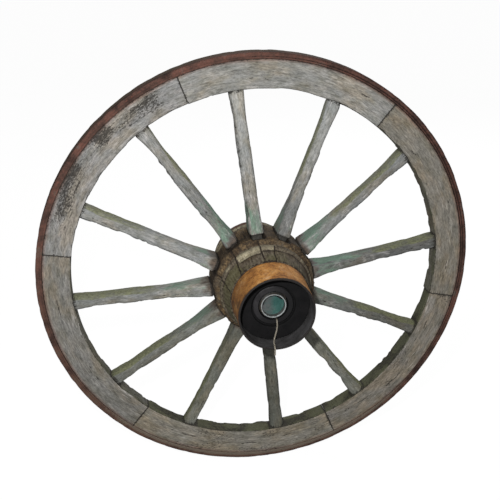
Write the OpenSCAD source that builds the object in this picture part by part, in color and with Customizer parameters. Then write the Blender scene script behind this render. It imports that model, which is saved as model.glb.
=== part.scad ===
// Wooden cart wheel on a steel axle tube, in millimetres.
// The axle lies along Y, the nose of the nave points to -Y, and Z is up.
// The origin is on the axle's axis, in the middle plane of the rim.

/* [Rim] */
// Outer diameter of the iron tyre
wheel_d = 870; // [700:10:1200]
// Radial thickness of the tyre
tyre_t = 12; // [8:1:18]
// Width of the rim along the axle
rim_w = 36; // [32:1:60]
// Radial depth of the felloes
felloe_h = 55; // [50:1:80]
// Chamfer along the felloes' inner edges
felloe_chamfer = 2.5; // [1:0.5:6]
// First felloe joint, in degrees anticlockwise from straight up
joint_phase = 21; // [0:1:30]
// Open gap at each felloe joint
joint_gap = 0.8; // [0.4:0.1:2]
// Diameter of the dowels between felloes
dowel_d = 12; // [8:1:16]
// Length of the dowels between felloes
dowel_len = 44; // [30:2:60]

/* [Spokes] */
// First spoke, in degrees anticlockwise from straight up
spoke_phase = 6.6; // [0:0.1:15]
// Width of a spoke in the plane of the wheel
spoke_w = 26; // [22:1:32]
// Depth of a spoke along the axle, at its middle
spoke_d = 33; // [26:1:36]
// Depth of a spoke's foot along the axle
foot_d = 54; // [44:1:58]
// Distance of the feet from the rim's middle plane, towards the nose
dish = 39; // [20:1:45]
// Width of the tenon in the nave
tenon_w = 22; // [16:1:24]
// Diameter of the tongue in the felloe
tongue_d = 20; // [14:1:22]

/* [Nave] */
// Radius of the nave between the spokes
nave_r = 100; // [96:1:104]
// Length of the nave behind the rim's middle plane
nave_back = 71; // [60:1:90]
// Length of the wood in front of the rim's middle plane
nave_front = 175; // [165:1:185]
// Radius of the bead in front of the spokes
bead_r = 89.5; // [88:0.5:94]
// Outer radius of the nose hoop at its lip
nose_r = 71; // [68:0.5:73]
// How far the nose hoop's lip stands in front of the wood
nose_reach = 37; // [20:1:45]
// Thickness of both hoops
hoop_t = 4.5; // [3:0.5:6]
// Width of the hoop at the back
breech_w = 20; // [12:1:26]

/* [Axle] */
// Outer diameter of the axle tube
tube_d = 48.3; // [42:0.1:52]
// Wall of the axle tube
tube_wall = 3.2; // [2.5:0.1:5]
// Radial running clearance between tube and axle box
running_gap = 0.05; // [0.02:0.01:0.1]
// Outer radius of the axle box
box_r = 38; // [35:1:42]
// Length of the bare stub behind the rear collar
stub_len = 68; // [40:1:120]

/* [Twine] */
// Diameter of the twine
twine_d = 3; // [2.5:0.1:3.2]

/* [Hidden] */
$fn = 96;
ring_fn = 240;
felloe_count = 6;
spoke_count = 12;
felloe_names = [for (i = [1 : felloe_count]) str("felloe_", i)];
spoke_names = [for (i = [1 : spoke_count]) str("spoke_", i)];

// Slack between parts that are driven or shrunk together
snug = 0.05;
// Gap between faces that turn past each other
turning_gap = 0.5;
// Gap between a spoke's shoulders and the wood that they face
shoulder_gap = 0.5;
// How far a cut runs past the face that it opens
past = 1;
// How far the pieces of one solid run into each other
overlap = 2;

// Rim radii
tyre_in = wheel_d / 2 - tyre_t;
felloe_out = tyre_in - snug;
felloe_in = tyre_in - felloe_h;
felloe_mid = (felloe_in + felloe_out) / 2;

// The felloes are cut by hand, so some joints stray from even spacing
joint_stray = [0, 0.5, -2, 2.5, 0, 0];
function joint_angle(i) =
    90 + joint_phase - i * 360 / felloe_count + joint_stray[i % felloe_count];
gap_angle = joint_gap / felloe_mid * 180 / PI;

// Two spokes lean a little at the rim
spoke_lean = [0, 0, 1.2, 0, -1.3, 0, 0, 0, 0, 0, 0, 0];
function spoke_angle(i) = 90 + spoke_phase - i * 360 / spoke_count;

// Spoke sections from foot to tongue: [share of the length, width, depth, exponent of its
// outline], where an exponent of 1 is an ellipse and a smaller one is closer to a rectangle
foot_r = nave_r + shoulder_gap;
spoke_run = felloe_in - shoulder_gap - foot_r;
shoulder = 4;
spoke_sections = [
    [0.00, spoke_w + 3, foot_d, 0.35],
    [0.11, spoke_w + 1, spoke_d + 12, 0.45],
    [0.21, spoke_w, spoke_d + 3, 0.6],
    [0.37, spoke_w, spoke_d, 0.7],
    [0.84, spoke_w, spoke_d - 3, 0.7],
    [0.94, spoke_w + shoulder - 1, spoke_d - 2, 0.6],
    [1.00, spoke_w + shoulder, spoke_d - 1, 0.6]
];
section_points = 20;
function signed_pow(v, p) = sign(v) * pow(abs(v), p);
function spoke_ring(s, lean) = [
    for (k = [0 : section_points - 1])
        let (
            a = -360 * k / section_points,
            along = foot_r + s[0] * spoke_run,
            side = s[1] / 2 * signed_pow(cos(a), s[3]),
            turn = lean * s[0]
        )
            [along * cos(turn) - side * sin(turn),
             along * sin(turn) + side * cos(turn),
             dish * (1 - s[0]) + s[2] / 2 * signed_pow(sin(a), s[3])]
];

// Tenons and mortises: each mortise is longer than its tenon, towards the nose
tenon_d = foot_d - 8;
tenon_r = 54;
mortise_slack = 18;
wedge_t = 3;
wedge_len = 20;
wedge_w = tongue_d - 2;
tongue_end = felloe_out - 1;

// Nave outline, [radius, distance in front of the rim's middle plane]
hoop_seat_r = nose_r - hoop_t + 1;
hoop_back = nave_front - 35;
breech_seat_r = 75;
nave_outline = [
    [0, -nave_back], [breech_seat_r, -nave_back],
    [breech_seat_r, breech_w - nave_back], [82, breech_w - nave_back],
    [86, -40], [88, -35], [88, -29], [86, -24], [84, -18], [92, -6], [nave_r - 2, 4],
    [nave_r, 12], [nave_r, 78], [nave_r - 3, 82], [nave_r - 13, 88],
    [bead_r - 1, 91], [bead_r, 97], [bead_r - 0.5, 100], [84, 107],
    [76, hoop_back - 0.5], [hoop_seat_r, hoop_back - 0.5],
    [hoop_seat_r, nave_front], [0, nave_front]
];
box_front = nave_front - 3;
counterbore_r = 28.5;
counterbore_depth = 22;
key_w = 8;
key_h = 6;
key_len = 120;
relief_w = 3.5;
relief_depth = 8;

// Axle
tube_r = tube_d / 2;
tube_bore_r = tube_r - tube_wall;
tube_front = nave_front - 1;
plug_t = 4;
plug_step = 0.5;
plug_front = tube_front - 9;
collar_r = 38;
collar_w = 16;
collar_front = -nave_back - turning_gap;
collar_back = collar_front - collar_w;
tube_back = collar_back - stub_len;
groove_w = 2;
groove_depth = 0.5;
screw_r = 4;
screw_len = collar_r - tube_r - 1;
ring_t = 3;
ring_back = box_front - counterbore_depth + turning_gap;
hitch_z = ring_back + ring_t + twine_d / 2 + 2;

// Twine's route as [right, up, towards the nose], from the hitch to its free end
twine_route = [
    [6, -25.8, 158], [6, -25.8, 163], [6, -25.8, 168], [6, -26, 171.5], [6, -27.2, 175.6],
    [6, -29.9, 178], [6, -33.8, 179], [6.1, -38.5, 179.2], [5.6, -44, 179.2],
    [4.6, -50, 179.2], [3, -55.5, 179.8], [1.2, -60, 182], [-0.4, -63, 186],
    [-1.6, -64.1, 191.5], [-2.6, -64.4, 197], [-3.2, -64.4, 202.5], [-3.8, -64.2, 208.5],
    [-4, -65, 212], [-4.1, -67.2, 214.2], [-4.2, -70.2, 215], [-4.4, -74.5, 215],
    [-4.5, -79, 215]
];
twine_sides = 8;

// Turns a shape drawn with its axis along Z so that the axis lies along Y
module upright() { rotate([90, 0, 0]) children(); }

// A ring between two radii, from z0 to z1
module ring(r_in, r_out, z0, z1, fn) {
    rotate_extrude($fn = fn)
        polygon([[r_in, z0], [r_out, z0], [r_out, z1], [r_in, z1]]);
}

// Skins a list of rings, each a list of the same number of points
module loft(rings) {
    n = len(rings[0]);
    m = len(rings);
    sides = [
        for (j = [0 : m - 2], k = [0 : n - 1])
            let (a = j * n + k, b = j * n + (k + 1) % n)
                each [[a, b, b + n], [a, b + n, a + n]]
    ];
    first_cap = [for (k = [n - 1 : -1 : 0]) k];
    last_cap = [for (k = [0 : n - 1]) (m - 1) * n + k];
    polyhedron([for (r = rings, p = r) p], concat(sides, [first_cap, last_cap]), convexity = 6);
}

// Iron tyre, shrunk round the felloes, with softened outer edges
module tyre() {
    edge = 2;
    out = wheel_d / 2;
    color([0.36, 0.20, 0.16]) upright() rotate_extrude($fn = ring_fn)
        polygon([
            [tyre_in, -rim_w / 2], [out - edge, -rim_w / 2], [out, edge - rim_w / 2],
            [out, rim_w / 2 - edge], [out - edge, rim_w / 2], [tyre_in, rim_w / 2]
        ]);
}

// A dowel across the felloe joint at an angle
module dowel_at(angle, r, length) {
    rotate([0, 0, angle]) translate([felloe_mid, 0, 0]) rotate([90, 0, 0])
        cylinder(r = r, h = length, center = true, $fn = 48);
}

// The tongue of spoke i, or the hole for it, grown by slack
module tongue_at(i, r_end, slack) {
    rotate([0, 0, spoke_angle(i) + spoke_lean[i]]) translate([felloe_in - overlap, 0, 0])
        rotate([0, 90, 0])
            cylinder(d = tongue_d + 2 * slack, h = r_end - felloe_in + overlap, $fn = 48);
}

// One felloe, from one joint to the next, with its dowel holes and two spoke holes
module felloe(i) {
    from = joint_angle(i + 1) + gap_angle / 2;
    to = joint_angle(i) - gap_angle / 2;
    half = rim_w / 2;
    c = felloe_chamfer;
    color([0.52, 0.52, 0.48]) upright() difference() {
        rotate([0, 0, from]) rotate_extrude(angle = to - from, $fn = ring_fn)
            polygon([
                [felloe_in, c - half], [felloe_in + c, -half], [felloe_out, -half],
                [felloe_out, half], [felloe_in + c, half], [felloe_in, half - c]
            ]);
        dowel_at(joint_angle(i), dowel_d / 2 + snug, dowel_len + 2 * past);
        dowel_at(joint_angle(i + 1), dowel_d / 2 + snug, dowel_len + 2 * past);
        for (s = [2 * i, 2 * i + 1])
            tongue_at((s + spoke_count) % spoke_count, wheel_d / 2, snug);
    }
}

// Dowels that line up neighbouring felloes
module felloe_dowels() {
    color([0.45, 0.36, 0.24]) upright()
        for (i = [0 : felloe_count - 1]) dowel_at(joint_angle(i), dowel_d / 2, dowel_len);
}

// One spoke: tenon, rounded blade that tapers from a deep square foot, and round tongue
module spoke(i) {
    slot_from = tongue_end - wedge_len;
    color([0.50, 0.55, 0.51]) upright() {
        rotate([0, 0, spoke_angle(i)]) {
            loft([for (s = spoke_sections) spoke_ring(s, spoke_lean[i])]);
            translate([tenon_r, -tenon_w / 2, dish - tenon_d / 2])
                cube([foot_r - tenon_r + overlap, tenon_w, tenon_d]);
        }
        difference() {
            tongue_at(i, tongue_end, 0);
            rotate([0, 0, spoke_angle(i) + spoke_lean[i]])
                translate([slot_from, -wedge_t / 2, -tongue_d])
                    cube([wedge_len + past, wedge_t, 2 * tongue_d]);
        }
    }
}

// Hardwood wedges driven into the ends of the tongues
module tongue_wedges() {
    color([0.42, 0.32, 0.20]) upright()
        for (i = [0 : spoke_count - 1])
            rotate([0, 0, spoke_angle(i) + spoke_lean[i]])
                translate([tongue_end - wedge_len, snug - wedge_t / 2, -wedge_w / 2])
                    cube([wedge_len, wedge_t - 2 * snug, wedge_w]);
}

// Iron box that runs on the axle tube, keyed into the nave and counterbored at the nose
module axle_box() {
    bore_r = tube_r + running_gap;
    step_z = box_front - counterbore_depth;
    edge = 1.5;
    color([0.20, 0.20, 0.22]) upright() {
        rotate_extrude() polygon([
            [bore_r, -nave_back], [box_r, -nave_back], [box_r, box_front - edge],
            [box_r - edge, box_front], [counterbore_r, box_front], [counterbore_r, step_z],
            [bore_r, step_z]
        ]);
        for (side = [0, 180])
            rotate([0, 0, side]) translate([box_r - overlap, -key_w / 2, -nave_back])
                cube([key_h + overlap, key_w, key_len]);
    }
}

// Turned elm nave with a mortise for each spoke and a keyed seat for the axle box
module nave() {
    seat_r = box_r + snug;
    slot_w = key_w + 2 * snug;
    color([0.42, 0.37, 0.28]) upright() difference() {
        rotate_extrude() polygon(nave_outline);
        translate([0, 0, -nave_back - past])
            cylinder(r = seat_r, h = nave_front + nave_back + 2 * past);
        translate([0, 0, nave_front - relief_depth])
            cylinder(r = box_r + relief_w, h = relief_depth + past);
        for (side = [0, 180])
            rotate([0, 0, side]) translate([box_r - past, -slot_w / 2, -nave_back - past])
                cube([key_h + past + snug, slot_w, key_len + past + snug]);
        for (i = [0 : spoke_count - 1])
            rotate([0, 0, spoke_angle(i)])
                translate([tenon_r - past, -tenon_w / 2 - snug, dish - tenon_d / 2 - snug])
                    cube([nave_r, tenon_w + 2 * snug, tenon_d + mortise_slack]);
    }
}

// Iron hoop on the nose, tapering a little to its lip
module nose_hoop() {
    lip = nave_front + nose_reach;
    back_r = nose_r + 2.5;
    color([0.57, 0.43, 0.28]) upright() rotate_extrude()
        polygon([
            [hoop_seat_r + snug, hoop_back], [back_r, hoop_back],
            [nose_r + 0.5, lip - 2], [nose_r - 0.5, lip], [nose_r - hoop_t + 1, lip],
            [nose_r - hoop_t, lip - 2], [nose_r - hoop_t, nave_front + 4],
            [hoop_seat_r + snug, nave_front + 1]
        ]);
}

// Iron hoop at the back of the nave
module breech_hoop() {
    color([0.38, 0.38, 0.34]) upright()
        ring(breech_seat_r + snug, breech_seat_r + hoop_t, 1 - nave_back,
            breech_w - 1 - nave_back, $fn);
}

// Steel axle tube, with a turned groove between the collar and the bare stub
module axle_tube() {
    color([0.55, 0.56, 0.56]) upright() difference() {
        translate([0, 0, tube_back]) cylinder(r = tube_r, h = tube_front - tube_back);
        translate([0, 0, tube_back - past])
            cylinder(r = tube_bore_r, h = tube_front - tube_back + 2 * past);
        translate([0, 0, plug_front - plug_t])
            cylinder(r = tube_bore_r + plug_step, h = tube_front - plug_front + plug_t + past);
        ring(tube_r - groove_depth, tube_r + past, collar_back - groove_w, collar_back, $fn);
    }
}

// Disc that closes the tube, seated on a step a little behind its rim
module tube_plug() {
    color([0.27, 0.34, 0.33]) upright()
        translate([0, 0, plug_front - plug_t])
            cylinder(r = tube_bore_r + plug_step - snug, h = plug_t);
}

// Ring on the tube inside the counterbore, which keeps the wheel from coming off the front
module retaining_ring() {
    color([0.25, 0.25, 0.26]) upright()
        ring(tube_r + snug, counterbore_r - 1, ring_back, ring_back + ring_t, $fn);
}

// Collar behind the nave, drilled for its set screw
module rear_collar() {
    color([0.22, 0.22, 0.24]) upright() difference() {
        ring(tube_r + snug, collar_r, collar_back, collar_front, $fn);
        translate([0, tube_r - past, collar_back + collar_w / 2]) rotate([-90, 0, 0])
            cylinder(r = screw_r + snug, h = collar_r, $fn = 48);
    }
}

// Set screw with a hexagonal socket
module set_screw() {
    socket_r = 2.3;
    socket_depth = 4;
    color([0.30, 0.30, 0.32]) upright()
        translate([0, tube_r + 2 * snug, collar_back + collar_w / 2]) rotate([-90, 0, 0])
            difference() {
                cylinder(r = screw_r, h = screw_len, $fn = 48);
                translate([0, 0, screw_len - socket_depth])
                    cylinder(r = socket_r, h = socket_depth + past, $fn = 6);
            }
}

// Twine knotted round the tube, hidden in the counterbore
module twine_hitch() {
    color([0.55, 0.53, 0.47]) upright() rotate_extrude()
        translate([tube_r + snug + twine_d / 2, hitch_z]) circle(d = twine_d, $fn = 24);
}

// A round section of the twine at point i of its route, square to the route
function unit(v) = v / norm(v);
function route_direction(p, i) = unit(p[min(i + 1, len(p) - 1)] - p[max(i - 1, 0)]);
function twine_ring(p, i) =
    let (t = route_direction(p, i), side = unit(cross(t, [0, 0.35, 1])), up = cross(side, t))
        [for (k = [0 : twine_sides - 1])
            let (a = 360 * k / twine_sides)
                p[i] + twine_d / 2 * (cos(a) * side + sin(a) * up)];

// Loose twine, from the knot over the nose hoop's lip
module twine() {
    color([0.62, 0.60, 0.54]) upright()
        loft([for (i = [0 : len(twine_route) - 1]) twine_ring(twine_route, i)]);
}

tyre();
for (i = [0 : felloe_count - 1])
    felloe(i);
felloe_dowels();
for (i = [0 : spoke_count - 1])
    spoke(i);
tongue_wedges();
nave();
nose_hoop();
breech_hoop();
axle_box();
axle_tube();
tube_plug();
retaining_ring();
rear_collar();
set_screw();
twine_hitch();
twine();
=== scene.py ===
"""Looks of an old wooden cart wheel on its axle tube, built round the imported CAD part.

Places on the wheel are polar: rho is the distance from the axle, theta turns anticlockwise from +X as seen
from the nose, and forward is the distance along the axle towards the nose (-Y). Lengths are in metres.
"""
import math
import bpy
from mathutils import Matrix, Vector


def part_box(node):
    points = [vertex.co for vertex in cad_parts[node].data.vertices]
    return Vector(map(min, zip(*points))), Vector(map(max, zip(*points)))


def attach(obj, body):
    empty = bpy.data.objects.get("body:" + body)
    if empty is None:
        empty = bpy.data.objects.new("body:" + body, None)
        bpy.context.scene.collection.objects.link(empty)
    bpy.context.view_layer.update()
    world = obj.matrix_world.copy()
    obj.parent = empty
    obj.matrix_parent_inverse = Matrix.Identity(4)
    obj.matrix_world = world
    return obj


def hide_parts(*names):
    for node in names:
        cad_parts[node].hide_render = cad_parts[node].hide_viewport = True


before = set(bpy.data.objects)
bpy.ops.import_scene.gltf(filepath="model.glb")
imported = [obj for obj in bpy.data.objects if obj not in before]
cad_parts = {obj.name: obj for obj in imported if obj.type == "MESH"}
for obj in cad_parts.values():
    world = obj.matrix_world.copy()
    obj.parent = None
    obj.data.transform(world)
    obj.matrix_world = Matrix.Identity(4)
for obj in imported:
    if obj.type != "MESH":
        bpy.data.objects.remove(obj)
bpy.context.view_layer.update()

from types import SimpleNamespace

import bpy
import numpy as np
from mathutils import Vector

MM = 0.001
TURN = 2 * math.pi


# ---------------------------------------------------------------- measures of the frame

def cad_points(node):
    """The CAD node's vertices, one row each."""
    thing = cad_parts[node]
    return np.array([thing.matrix_world @ v.co for v in thing.data.vertices])


def polar(points):
    """(rho, theta, forward) of points in the row frame."""
    x, y, z = points[..., 0], points[..., 1], points[..., 2]
    return np.hypot(x, z), np.arctan2(z, x), -y


def place(rho, theta, forward):
    """Points in the row frame from polar places."""
    rho, theta, forward = np.broadcast_arrays(rho, theta, forward)
    return np.stack([rho * np.cos(theta), -forward, rho * np.sin(theta)], axis=-1)


def radii(node):
    """Smallest and largest distance of the node's vertices from the axle."""
    rho = polar(cad_points(node))[0]
    return rho.min(), rho.max()


def reach(node):
    """Rearmost and foremost place of the node along the axle."""
    low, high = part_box(node)
    return -high[1], -low[1]


def mean_heading(points):
    """Direction of some points from the axle, in radians."""
    middle = points.mean(axis=0)
    return math.atan2(middle[2], middle[0])


def heading(node, outer):
    """Direction of a spoke's outer or inner end."""
    points = cad_points(node)
    rho = polar(points)[0]
    return mean_heading(points[rho > rho.max() - 3 * MM if outer else rho < rho.min() + 8 * MM])


def turned_by(theta, angle):
    """Angle from a direction to theta, -pi to pi."""
    return (theta - angle + math.pi) % TURN - math.pi


def arc(node):
    """First and last direction of a felloe, the last one larger."""
    points = cad_points(node)
    middle = mean_heading(points)
    offset = turned_by(polar(points)[1], middle)
    return middle + offset.min(), middle + offset.max()


FELLOES = sorted(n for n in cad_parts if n.startswith("felloe_") and n[-1].isdigit())
SPOKES = sorted((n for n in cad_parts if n.startswith("spoke_")), key=lambda n: int(n[6:]))
SPOKE_FEET = [heading(node, outer=False) for node in SPOKES]
SPOKE_TIPS = [heading(node, outer=True) for node in SPOKES]
TYRE_IN, TYRE_OUT = radii("tyre")
FELLOE_IN, FELLOE_OUT = radii(FELLOES[0])
RIM_HALF = reach("tyre")[1]
WOOD_BACK, WOOD_FRONT = reach("nave")
NAVE_R = radii("nave")[1]
HOOP_BACK, LIP = reach("nose_hoop")
TUBE_BACK, TUBE_FRONT = reach("axle_tube")
TUBE_BORE, TUBE_R = radii("axle_tube")
BOX_R = 0.5 * (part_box("axle_box")[1][2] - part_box("axle_box")[0][2])


# ---------------------------------------------------------------- numbers and noise

def srgb(red, green, blue):
    """Linear colour, with alpha, from 0-255 display values."""
    def channel(value):
        value /= 255
        return value / 12.92 if value <= 0.04045 else ((value + 0.055) / 1.055) ** 2.4
    return (channel(red), channel(green), channel(blue), 1.0)


def smooth(edge0, edge1, value):
    """0 before edge0, 1 after edge1, smooth between them."""
    t = np.clip((value - edge0) / (edge1 - edge0), 0, 1)
    return t * t * (3 - 2 * t)


def ridge(distance, width):
    """1 where the distance is 0, falling off on both sides of it."""
    return np.exp(-(distance / width) ** 2)


def fade(edge0, edge1, value):
    """1 before edge0, 0 after edge1, smooth between them."""
    return 1 - smooth(edge0, edge1, value)


def facing(theta, degrees):
    """1 in that direction, 0 opposite to it."""
    return 0.5 + 0.5 * np.cos(theta - math.radians(degrees))


def lattice(cell, seed):
    """A fixed random value, -1 to 1, for each whole-number cell."""
    keys = np.array([374761393, 668265263, 1440662683], dtype=np.uint64)
    mixed = (cell.astype(np.int64).astype(np.uint64) * keys).sum(axis=-1) + np.uint64(seed * 97 + 13)
    mixed = (mixed ^ (mixed >> np.uint64(15))) * np.uint64(2246822519) & np.uint64(0xFFFFFFFF)
    mixed = (mixed ^ (mixed >> np.uint64(13))) * np.uint64(3266489917) & np.uint64(0xFFFFFFFF)
    return (mixed ^ (mixed >> np.uint64(16))) / 2147483648.0 - 1


def noise(points, seed):
    """Smooth value noise, about -1 to 1, with cells one unit wide."""
    cell = np.floor(points)
    part = points - cell
    part = part * part * (3 - 2 * part)
    total = 0
    for corner in np.ndindex(2, 2, 2):
        weight = np.prod(np.where(corner, part, 1 - part), axis=-1)
        total = total + weight * lattice(cell + corner, seed)
    return total


def fractal(points, octaves, seed):
    """Several octaves of noise, each half as strong and twice as fine."""
    return sum(noise(points * 2 ** k, seed + 31 * k) / 2 ** k for k in range(octaves))


def stretched(*coordinates_and_scales):
    """Stacks (coordinate, cells per metre) pairs into noise points."""
    return np.stack(np.broadcast_arrays(*[c * s for c, s in coordinates_and_scales]), axis=-1)


def around(theta, rho, forward, across, lengthwise):
    """Noise points on a turned part, from its cells per metre across the axle and lengthwise."""
    return stretched((np.cos(theta) * rho, across), (np.sin(theta) * rho, across), (forward, lengthwise))


def wave(coordinate, cells, seed, row=0, octaves=1):
    """Noise along one coordinate. Another row gives other values."""
    return fractal(stretched((coordinate, cells), (row, 1), (0, 1)), octaves, seed)


# ---------------------------------------------------------------- meshes

def loop_normals(loop):
    """Outward unit normals of a closed anticlockwise outline."""
    along = np.roll(loop, -1, axis=0) - np.roll(loop, 1, axis=0)
    normal = np.stack([along[:, 1], -along[:, 0]], axis=-1)
    return normal / np.maximum(np.linalg.norm(normal, axis=1, keepdims=True), 1e-9)


def resample(corners, spacing, softness):
    """A closed outline through corners, its corners cut back by softness, with points about spacing apart.
    A corner may carry its own spacing for the stretch that follows it."""
    points = np.array([c[:2] for c in corners], dtype=float)
    gaps = [c[2] if len(c) > 2 else spacing for c in corners]
    out = []
    for i, here in enumerate(points):
        before, after = points[i - 1], points[(i + 1) % len(points)]
        to_before, to_after = before - here, after - here
        cut_in = min(softness / np.linalg.norm(to_before), 0.4)
        cut_out = min(softness / np.linalg.norm(to_after), 0.4)
        start, end = here + to_before * cut_in, here + to_after * cut_out
        out += [start, 0.25 * start + 0.5 * here + 0.25 * end]
        far = after - to_after * cut_out
        steps = max(1, round(np.linalg.norm(far - end) / gaps[i]))
        out += [end + (far - end) * k / steps for k in range(steps)]
    return np.array(out)


def grid_faces(rows, columns, wrap_rows):
    """Quads of a grid whose columns close on themselves."""
    last = rows if wrap_rows else rows - 1
    row, column = np.meshgrid(np.arange(last), np.arange(columns), indexing="ij")
    below, beside = (row + 1) % rows, (column + 1) % columns
    corners = [row * columns + column, row * columns + beside,
               below * columns + beside, below * columns + column]
    return np.stack(corners, axis=-1).reshape(-1, 4)


def close_ends(rings):
    """Adds rings that shrink to the middle of the first and of the last ring."""
    shrink = (0.94, 0.75, 0.5, 0.25, 0.04)
    first, last = rings[0], rings[-1]
    head = [first.mean(axis=0) + (first - first.mean(axis=0)) * s for s in shrink[::-1]]
    tail = [last.mean(axis=0) + (last - last.mean(axis=0)) * s for s in shrink]
    return np.concatenate([head, rings, tail])


def skin(name, rings, wrap=False, **marks):
    """A closed mesh through rings of points. Unless it wraps, its ends are closed by shrinking rings.
    marks are a vector or a colour for each point, kept as mesh attributes for the materials."""
    if not wrap:
        rings = close_ends(rings)
        marks = {key: close_ends(values) for key, values in marks.items()}
    rows, columns = rings.shape[:2]
    faces = grid_faces(rows, columns, wrap).tolist()
    if not wrap:
        faces.append(list(range(columns))[::-1])
        faces.append(list(range((rows - 1) * columns, rows * columns)))
    mesh = bpy.data.meshes.new(name)
    mesh.from_pydata(rings.reshape(-1, 3).tolist(), [], faces)
    for key, values in marks.items():
        kind, field = ("FLOAT_VECTOR", "vector") if values.shape[-1] == 3 else ("FLOAT_COLOR", "color")
        layer = mesh.attributes.new(key, kind, "POINT")
        layer.data.foreach_set(field, values.astype(np.float32).ravel())
    mesh.update()
    orient(mesh)
    mesh.shade_smooth()
    thing = bpy.data.objects.new(name, mesh)
    bpy.context.collection.objects.link(thing)
    return thing


def orient(mesh):
    """Turns the faces outwards if the mesh's signed volume is negative."""
    mesh.calc_loop_triangles()
    corners = np.empty(len(mesh.loop_triangles) * 3, dtype=np.int32)
    mesh.loop_triangles.foreach_get("vertices", corners)
    places = np.empty(len(mesh.vertices) * 3, dtype=np.float32)
    mesh.vertices.foreach_get("co", places)
    a, b, c = places.reshape(-1, 3)[corners.reshape(-1, 3)].transpose(1, 0, 2).astype(float)
    if np.einsum("ij,ij->i", a, np.cross(b, c)).sum() < 0:
        mesh.flip_normals()


def join(name, things):
    """Several meshes as one object."""
    with bpy.context.temp_override(active_object=things[0], selected_editable_objects=things):
        bpy.ops.object.join()
    things[0].name = name
    return things[0]


def hand_over(thing, body, material, node):
    """Dresses a finished piece, ties it to its body and lets it stand for its CAD node."""
    thing.data.materials.clear()
    thing.data.materials.append(material)
    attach(thing, body)
    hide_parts(node)


def dress(node, material):
    """Gives a CAD node that stays its material."""
    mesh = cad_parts[node].data
    mesh.materials.clear()
    mesh.materials.append(material)


def round_turn(steps):
    """Evenly spaced directions round a whole turn."""
    return np.linspace(0, TURN, steps, endpoint=False)


def layered(*layers):
    """Several values as one vector or colour for each point."""
    return np.stack(np.broadcast_arrays(*layers), axis=-1)


def lathe(name, corners, relief, coat, spacing, steps, softness):
    """A turned ring with that many steps round it. corners are (rho, forward) of its closed section,
    relief(theta, rho, forward) is how far the surface stands out, and coat(theta, rho, forward) is the four
    strengths that its material mixes."""
    loop = resample(corners, spacing, softness)
    normal = loop_normals(loop)
    theta = round_turn(steps)[:, None]
    rho, forward = loop[None, :, 0], loop[None, :, 1]
    out = relief(theta, rho, forward)
    rings = place(rho + out * normal[None, :, 0], theta, forward + out * normal[None, :, 1])
    strengths = [layer + 0 * (theta + rho) for layer in coat(theta, rho, forward)]
    return skin(name, rings, wrap=True, grain=rings, coat=layered(*strengths))


# ---------------------------------------------------------------- camera and stage

CAMERA_AZIMUTH, CAMERA_ELEVATION = -9.40, 21.55
CAMERA_AIM = Vector((-0.0181, -RIM_HALF, 0.0509))
CAMERA_DISTANCE = 1.6886
CAMERA_LENS = 61.6
FLOOR_HALF = 60


def stand(name, data, aim, azimuth, elevation, distance):
    """Puts a camera or a lamp at that distance from its aim, pointing there. The angles are in degrees, and
    azimuth 0 is in front (-Y)."""
    azimuth, elevation = math.radians(azimuth), math.radians(elevation)
    towards = Vector((math.sin(azimuth) * math.cos(elevation), -math.cos(azimuth) * math.cos(elevation),
                      math.sin(elevation)))
    thing = bpy.data.objects.new(name, data)
    thing.location = aim + distance * towards
    thing.rotation_euler = towards.to_track_quat("Z", "Y").to_euler()
    bpy.context.collection.objects.link(thing)
    return thing


def make_camera():
    data = bpy.data.cameras.new("camera")
    data.lens = CAMERA_LENS
    data.sensor_width = 36
    data.clip_end = 200
    camera = stand("camera", data, CAMERA_AIM, CAMERA_AZIMUTH, CAMERA_ELEVATION, CAMERA_DISTANCE)
    bpy.context.scene.camera = camera


def make_light(name, azimuth, elevation, distance, power, size):
    """A round lamp that points at the wheel's hub and is seen from there at those angles."""
    data = bpy.data.lights.new(name, "AREA")
    data.energy = power
    data.shape = "DISK"
    data.size = size
    stand(name, data, Vector(), azimuth, elevation, distance)


def make_world(ambient, backdrop):
    """Even ambient light, with a brighter backdrop where the camera looks past the floor."""
    world = bpy.data.worlds.new("studio")
    world.use_nodes = True
    tree = world.node_tree
    tree.nodes.clear()
    sky = add(tree, "Background", {"Color": (1, 1, 1, 1), "Strength": ambient})
    white = add(tree, "Background", {"Color": (1, 1, 1, 1), "Strength": backdrop})
    path = add(tree, "LightPath")
    either = add(tree, "MixShader", {0: path.outputs["Is Camera Ray"], 1: sky.outputs[0],
                                     2: white.outputs[0]})
    add(tree, "OutputWorld", {"Surface": either.outputs[0]})
    bpy.context.scene.world = world


def make_floor():
    """A pale floor under the tyre, which shines a little so that it reads almost white."""
    mesh = bpy.data.meshes.new("floor")
    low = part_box("tyre")[0].z
    corners = [(x * FLOOR_HALF, y * FLOOR_HALF, low) for x, y in ((-1, -1), (1, -1), (1, 1), (-1, 1))]
    mesh.from_pydata(corners, [], [(0, 1, 2, 3)])
    floor = bpy.data.objects.new("floor", mesh)
    bpy.context.collection.objects.link(floor)
    material, tree, shader = new_material("floor", roughness=0.9, specular=0.0)
    shader.inputs["Base Color"].default_value = (0.07, 0.07, 0.07, 1)
    shader.inputs["Emission Color"].default_value = (1, 1, 1, 1)
    shader.inputs["Emission Strength"].default_value = 0.96
    mesh.materials.append(material)
    floor.visible_diffuse = False
    floor.visible_glossy = False


# ---------------------------------------------------------------- material nodes

def add(tree, kind, inputs=(), **settings):
    """Adds a node; each input is a value or another node's socket."""
    made = tree.nodes.new("ShaderNode" + kind)
    for key, value in settings.items():
        setattr(made, key, value)
    for key, value in dict(inputs).items():
        if isinstance(value, bpy.types.NodeSocket):
            tree.links.new(value, made.inputs[key])
        else:
            made.inputs[key].default_value = value
    return made


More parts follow.
